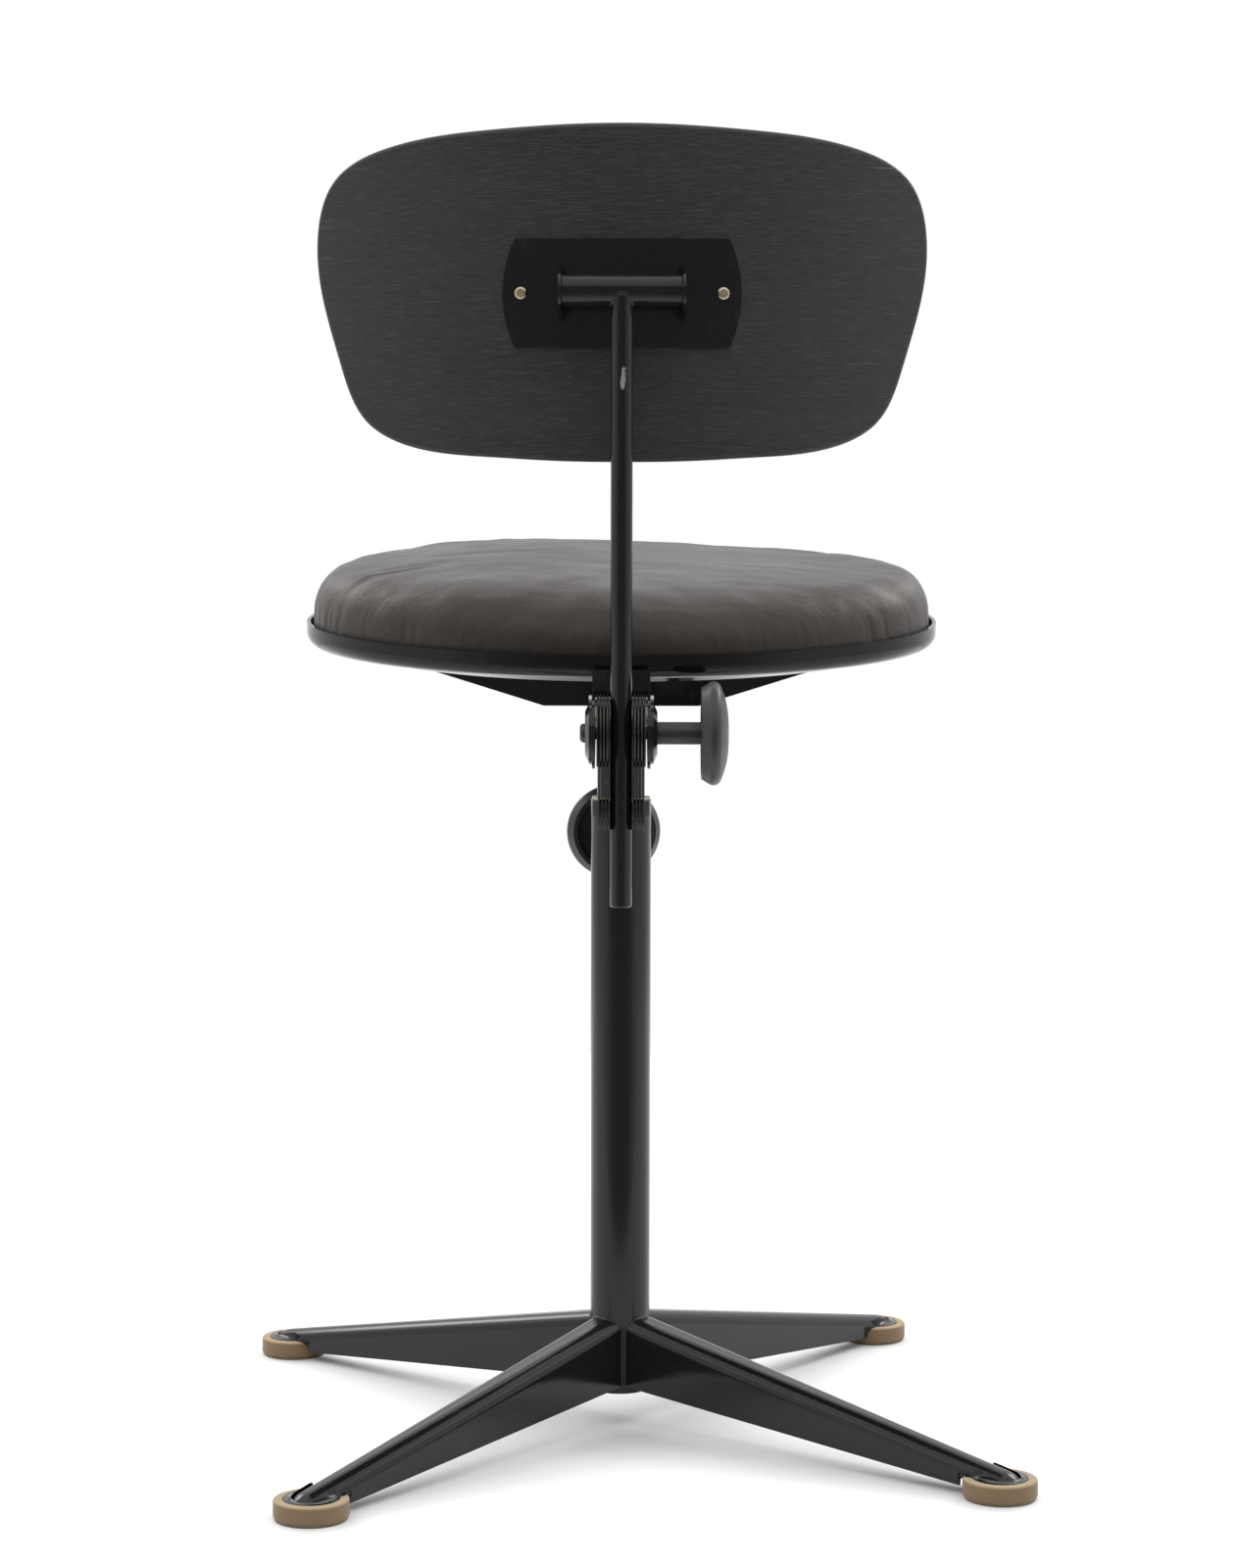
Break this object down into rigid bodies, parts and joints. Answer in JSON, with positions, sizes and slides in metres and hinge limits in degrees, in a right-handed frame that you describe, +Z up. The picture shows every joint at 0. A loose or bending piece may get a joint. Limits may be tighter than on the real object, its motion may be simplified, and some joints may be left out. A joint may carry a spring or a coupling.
{
  "type": "adjustable swivel stool",
  "caption": "Steel work stool with a cross base, a clamped telescopic column, a padded swivel seat in a steel tray, and a bent plywood back on a sliding, tilting stem.",
  "frame": {"origin": "on the floor, on the column axis, at the middle of the square of feet", "axes": "+Z up along the column; the sitter faces -Y, so the back is on the +Y side and the back clamp's knob on -X"},
  "size_m": [0.5524, 0.5524, 0.901],
  "materials": {
    "frame_paint": "satin black stove enamel",
    "pan_paint": "gloss black enamel",
    "foot_rubber": "matt moulded rubber, tan",
    "knob_plastic": "satin moulded phenolic, dark grey",
    "steel": "bright zinc plated",
    "plate_steel": "blackened spring steel",
    "brass": "aged nickel-brass",
    "nylon": "natural nylon",
    "leather": "worn black leather",
    "back_wood": "black stained plywood",
    "plug_plastic": "matt black"
  },
  "bodies": {
    "base": {"column_tube": "frame_paint", "column_plug": "plug_plastic", "column_bush": "nylon", "clamp_boss": "frame_paint", "foot_screws": "steel", "leg_rear_left": "frame_paint", "leg_rear_right": "frame_paint", "leg_front_right": "frame_paint", "leg_front_left": "frame_paint", "foot_rear_left": "foot_rubber", "foot_rear_right": "foot_rubber", "foot_front_right": "foot_rubber", "foot_front_left": "foot_rubber"},
    "clamp_pad": {"clamp_pad": "brass"},
    "height_knob": {"height_knob": "knob_plastic", "height_stud": "steel"},
    "inner_column": {"inner_tube": "frame_paint", "guide_ring": "nylon", "swivel_bush": "brass", "thrust_washer": "nylon"},
    "seat": {"swivel_spindle": "steel", "spindle_circlip": "steel", "seat_bracket": "frame_paint", "clamp_arm": "frame_paint", "under_plate": "pan_paint", "seat_pan": "pan_paint", "seat_cushion": "leather", "seat_screws": "steel", "fixed_plates_left": "plate_steel", "fixed_plates_right": "plate_steel", "top_pin": "steel", "bolt_cap": "frame_paint", "clamp_bolt": "plate_steel"},
    "thrust_cap": {"thrust_cap": "frame_paint"},
    "side_knob": {"side_knob": "knob_plastic", "knob_sleeve": "knob_plastic"},
    "swing_link": {"swing_plates_left": "plate_steel", "swing_plates_right": "plate_steel", "low_pin": "plate_steel", "low_spacers": "plate_steel"},
    "stem": {"stem": "frame_paint", "cross_tube": "frame_paint", "rock_bushes": "nylon"},
    "back": {"back_plate": "frame_paint", "rock_pin": "steel", "backrest": "back_wood", "back_bolts": "brass", "back_inserts": "brass"}
  },
  "joints": [
    {"name": "seat_height", "type": "slide", "parent": "base", "child": "inner_column", "axis": [0, 0, 1], "range_m": [-0.05, 0.15]},
    {"name": "seat_swivel", "type": "hinge", "parent": "inner_column", "child": "seat", "pos_m": [0, 0, 0.51], "axis": [0, 0, 1], "continuous": true},
    {"name": "height_clamp_travel", "type": "slide", "parent": "base", "child": "clamp_pad", "axis": [0.1149, -0.9934, 0], "range_m": [0, 0.0015]},
    {"name": "height_knob_turn", "type": "hinge", "parent": "clamp_pad", "child": "height_knob", "pos_m": [0, 0, 0.4195], "axis": [0.1149, -0.9934, 0], "range_deg": [0, 360]},
    {"name": "back_clamp_travel", "type": "slide", "parent": "seat", "child": "thrust_cap", "axis": [-1, 0, 0], "range_m": [0, 0.0015]},
    {"name": "side_knob_turn", "type": "hinge", "parent": "thrust_cap", "child": "side_knob", "pos_m": [0, 0.205, 0.506], "axis": [-1, 0, 0], "range_deg": [0, 360]},
    {"name": "back_swing", "type": "hinge", "parent": "seat", "child": "swing_link", "pos_m": [0, 0.205, 0.506], "axis": [1, 0, 0], "range_deg": [-8, 8]},
    {"name": "back_height", "type": "slide", "parent": "swing_link", "child": "stem", "axis": [0, 0, 1], "range_m": [-0.05, 0.045]},
    {"name": "back_rock", "type": "hinge", "parent": "stem", "child": "back", "pos_m": [0, 0.205, 0.791], "axis": [1, 0, 0], "range_deg": [-20, 9]}
  ],
  "couplings": [
    {"joint": "height_clamp_travel", "follows": "height_knob_turn", "m_per_rad": 0.00023873},
    {"joint": "back_clamp_travel", "follows": "side_knob_turn", "m_per_rad": 0.00023873}
  ]
}
